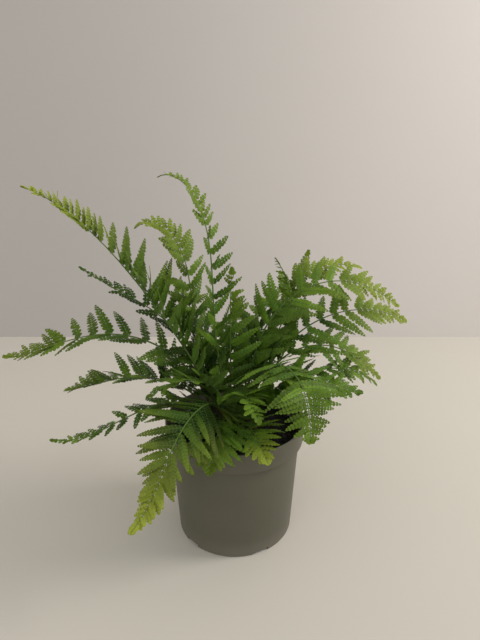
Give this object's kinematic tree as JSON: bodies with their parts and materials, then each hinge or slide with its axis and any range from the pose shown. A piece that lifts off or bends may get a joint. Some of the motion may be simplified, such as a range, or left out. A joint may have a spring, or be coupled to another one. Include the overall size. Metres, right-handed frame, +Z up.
{
  "type": "potted male fern",
  "caption": "Male fern in a round plastic nursery pot: arching feathery fronds rise from a scaly crown in dark soil.",
  "frame": {"origin": "centre of the pot's flat underside", "axes": "+Z up, +Y away from the front, +X to the right of someone who faces the front"},
  "size_m": [0.3943, 0.2609, 0.3324],
  "materials": {
    "pot_plastic": "satin moulded taupe grey",
    "soil": "damp dark peat",
    "crown": "brown papery scales",
    "leaf": "soft satin leaf"
  },
  "bodies": {
    "root": {"pot": "pot_plastic", "soil": "soil", "crown": "crown", "frond_left_high": "leaf", "frond_tall_left": "leaf", "frond_left_back_high": "leaf", "frond_left_back": "leaf", "frond_left_long": "leaf", "frond_left_mid": "leaf", "frond_left_low": "leaf", "frond_front_left": "leaf", "frond_front_inner": "leaf", "frond_front": "leaf", "frond_right_drooping": "leaf", "frond_right_low": "leaf", "frond_right_mid": "leaf", "frond_right_long": "leaf", "frond_right_back": "leaf", "frond_right_high": "leaf", "frond_right_top": "leaf", "frond_tall_right": "leaf", "frond_right_slim": "leaf", "frond_centre_back": "leaf", "frond_inner_left": "leaf", "frond_inner_front": "leaf", "frond_inner_right": "leaf", "frond_back_right": "leaf", "frond_back": "leaf", "frond_back_left": "leaf"}
  },
  "joints": []
}
